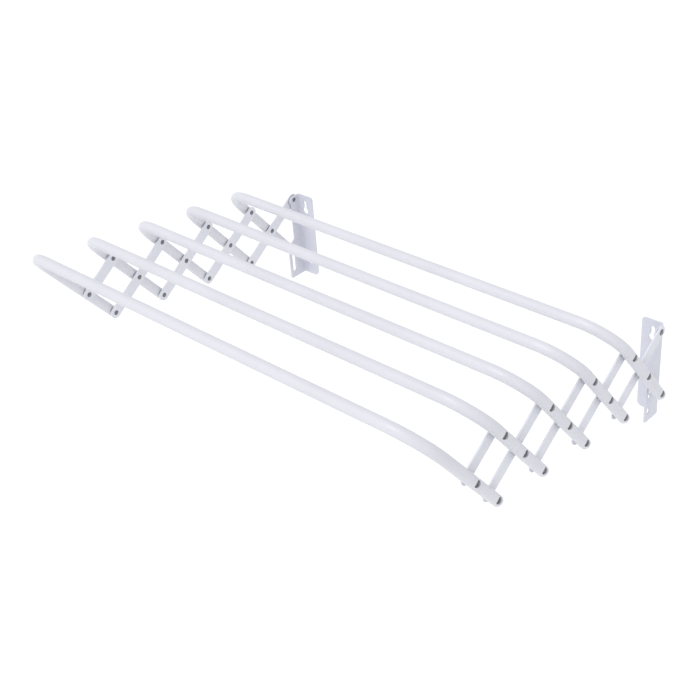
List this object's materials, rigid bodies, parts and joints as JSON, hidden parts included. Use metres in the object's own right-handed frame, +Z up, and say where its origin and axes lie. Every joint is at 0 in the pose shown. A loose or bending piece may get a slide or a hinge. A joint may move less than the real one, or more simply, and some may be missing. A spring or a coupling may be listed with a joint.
{
  "type": "wall mounted accordion drying rack",
  "caption": "Wall mounted clothes drying rack: U-shaped white steel rails on riveted crossed arms that pull out from two wall brackets and fold flat.",
  "frame": {"origin": "on the wall plane, midway between the two lower wall screws", "axes": "+X along the rails, +Y into the wall, +Z up; the rack reaches out towards -Y"},
  "size_m": [0.613, 0.4376, 0.2257],
  "materials": {
    "powder_coat": "white powder coat, semi-gloss",
    "rivet_steel": "zinc plated, dull",
    "white_plastic": "moulded, semi-gloss",
    "nylon": "natural nylon"
  },
  "bodies": {
    "wall_brackets": {"wall_bracket_left": "powder_coat", "wall_bracket_right": "powder_coat", "bracket_pivot_rivets": "rivet_steel", "bracket_pivot_washers": "nylon"},
    "cross_bar_1_right": {"cross_bar_1_right": "powder_coat"},
    "cross_bar_1_left": {"cross_bar_1_left": "powder_coat"},
    "rail_1": {"rail_1": "powder_coat", "rail_1_end_plugs": "white_plastic", "slot_pins": "rivet_steel", "slot_collars": "nylon", "slot_washers": "rivet_steel", "rail_1_middle_rivets": "rivet_steel", "rail_1_upper_rivets": "rivet_steel", "rail_1_spacers": "nylon"},
    "rail_2": {"rail_2": "powder_coat", "rail_2_end_plugs": "white_plastic", "rail_2_lower_rivets": "rivet_steel", "rail_2_middle_rivets": "rivet_steel", "rail_2_upper_rivets": "rivet_steel", "rail_2_spacers": "nylon"},
    "cross_bar_2_right": {"cross_bar_2_right": "powder_coat"},
    "cross_bar_2_left": {"cross_bar_2_left": "powder_coat"},
    "cross_bar_3_right": {"cross_bar_3_right": "powder_coat"},
    "cross_bar_3_left": {"cross_bar_3_left": "powder_coat"},
    "rail_3": {"rail_3": "powder_coat", "rail_3_end_plugs": "white_plastic", "rail_3_lower_rivets": "rivet_steel", "rail_3_middle_rivets": "rivet_steel", "rail_3_upper_rivets": "rivet_steel", "rail_3_spacers": "nylon"},
    "rail_4": {"rail_4": "powder_coat", "rail_4_end_plugs": "white_plastic", "rail_4_lower_rivets": "rivet_steel", "rail_4_middle_rivets": "rivet_steel", "rail_4_upper_rivets": "rivet_steel", "rail_4_spacers": "nylon"},
    "cross_bar_4_right": {"cross_bar_4_right": "powder_coat"},
    "cross_bar_4_left": {"cross_bar_4_left": "powder_coat"},
    "cross_bar_5_right": {"cross_bar_5_right": "powder_coat"},
    "cross_bar_5_left": {"cross_bar_5_left": "powder_coat"},
    "rail_5": {"rail_5": "powder_coat", "rail_5_end_plugs": "white_plastic", "rail_5_lower_rivets": "rivet_steel", "rail_5_middle_rivets": "rivet_steel", "rail_5_spacers": "nylon"}
  },
  "joints": [
    {"name": "fold", "type": "hinge", "parent": "wall_brackets", "child": "cross_bar_1_right", "pos_m": [0.2914, -0.011, 0.1], "axis": [1, 0, 0], "range_deg": [0, 39.22]},
    {"name": "cross_bar_1_left_pivot", "type": "hinge", "parent": "wall_brackets", "child": "cross_bar_1_left", "pos_m": [-0.2914, -0.011, 0.1], "axis": [1, 0, 0], "range_deg": [0, 39.22]},
    {"name": "rail_1_pivot", "type": "hinge", "parent": "cross_bar_1_right", "child": "rail_1", "pos_m": [0.2914, -0.05488, 0.06939], "axis": [-1, 0, 0], "range_deg": [0, 73.3]},
    {"name": "rail_2_pivot", "type": "hinge", "parent": "cross_bar_1_right", "child": "rail_2", "pos_m": [0.2914, -0.09876, 0.03879], "axis": [-1, 0, 0], "range_deg": [0, 73.3]},
    {"name": "cross_bar_2_right_pivot", "type": "hinge", "parent": "rail_2", "child": "cross_bar_2_right", "pos_m": [0.2914, -0.13184, 0.08083], "axis": [1, 0, 0], "range_deg": [0, 73.3]},
    {"name": "cross_bar_2_left_pivot", "type": "hinge", "parent": "rail_2", "child": "cross_bar_2_left", "pos_m": [-0.2914, -0.13184, 0.08083], "axis": [1, 0, 0], "range_deg": [0, 73.3]},
    {"name": "cross_bar_3_right_pivot", "type": "hinge", "parent": "rail_2", "child": "cross_bar_3_right", "pos_m": [0.2914, -0.16492, 0.12288], "axis": [1, 0, 0], "range_deg": [0, 73.3]},
    {"name": "cross_bar_3_left_pivot", "type": "hinge", "parent": "rail_2", "child": "cross_bar_3_left", "pos_m": [-0.2914, -0.16492, 0.12288], "axis": [1, 0, 0], "range_deg": [0, 73.3]},
    {"name": "rail_3_pivot", "type": "hinge", "parent": "cross_bar_3_right", "child": "rail_3", "pos_m": [0.2914, -0.2088, 0.09228], "axis": [-1, 0, 0], "range_deg": [0, 73.3]},
    {"name": "rail_4_pivot", "type": "hinge", "parent": "cross_bar_3_right", "child": "rail_4", "pos_m": [0.2914, -0.25269, 0.06167], "axis": [-1, 0, 0], "range_deg": [0, 73.3]},
    {"name": "cross_bar_4_right_pivot", "type": "hinge", "parent": "rail_4", "child": "cross_bar_4_right", "pos_m": [0.2914, -0.28577, 0.10372], "axis": [1, 0, 0], "range_deg": [0, 73.3]},
    {"name": "cross_bar_4_left_pivot", "type": "hinge", "parent": "rail_4", "child": "cross_bar_4_left", "pos_m": [-0.2914, -0.28577, 0.10372], "axis": [1, 0, 0], "range_deg": [0, 73.3]},
    {"name": "cross_bar_5_right_pivot", "type": "hinge", "parent": "rail_4", "child": "cross_bar_5_right", "pos_m": [0.2914, -0.31885, 0.14576], "axis": [1, 0, 0], "range_deg": [0, 73.3]},
    {"name": "cross_bar_5_left_pivot", "type": "hinge", "parent": "rail_4", "child": "cross_bar_5_left", "pos_m": [-0.2914, -0.31885, 0.14576], "axis": [1, 0, 0], "range_deg": [0, 73.3]},
    {"name": "rail_5_pivot", "type": "hinge", "parent": "cross_bar_5_right", "child": "rail_5", "pos_m": [0.2914, -0.36273, 0.11516], "axis": [-1, 0, 0], "range_deg": [0, 73.3]}
  ],
  "couplings": [
    {"joint": "cross_bar_1_left_pivot", "follows": "fold", "ratio": 1},
    {"joint": "rail_1_pivot", "follows": "fold", "ratio": 1.8688},
    {"joint": "rail_2_pivot", "follows": "fold", "ratio": 1.8688},
    {"joint": "cross_bar_2_right_pivot", "follows": "fold", "ratio": 1.8688},
    {"joint": "cross_bar_2_left_pivot", "follows": "fold", "ratio": 1.8688},
    {"joint": "cross_bar_3_right_pivot", "follows": "fold", "ratio": 1.8688},
    {"joint": "cross_bar_3_left_pivot", "follows": "fold", "ratio": 1.8688},
    {"joint": "rail_3_pivot", "follows": "fold", "ratio": 1.8688},
    {"joint": "rail_4_pivot", "follows": "fold", "ratio": 1.8688},
    {"joint": "cross_bar_4_right_pivot", "follows": "fold", "ratio": 1.8688},
    {"joint": "cross_bar_4_left_pivot", "follows": "fold", "ratio": 1.8688},
    {"joint": "cross_bar_5_right_pivot", "follows": "fold", "ratio": 1.8688},
    {"joint": "cross_bar_5_left_pivot", "follows": "fold", "ratio": 1.8688},
    {"joint": "rail_5_pivot", "follows": "fold", "ratio": 1.8688}
  ]
}
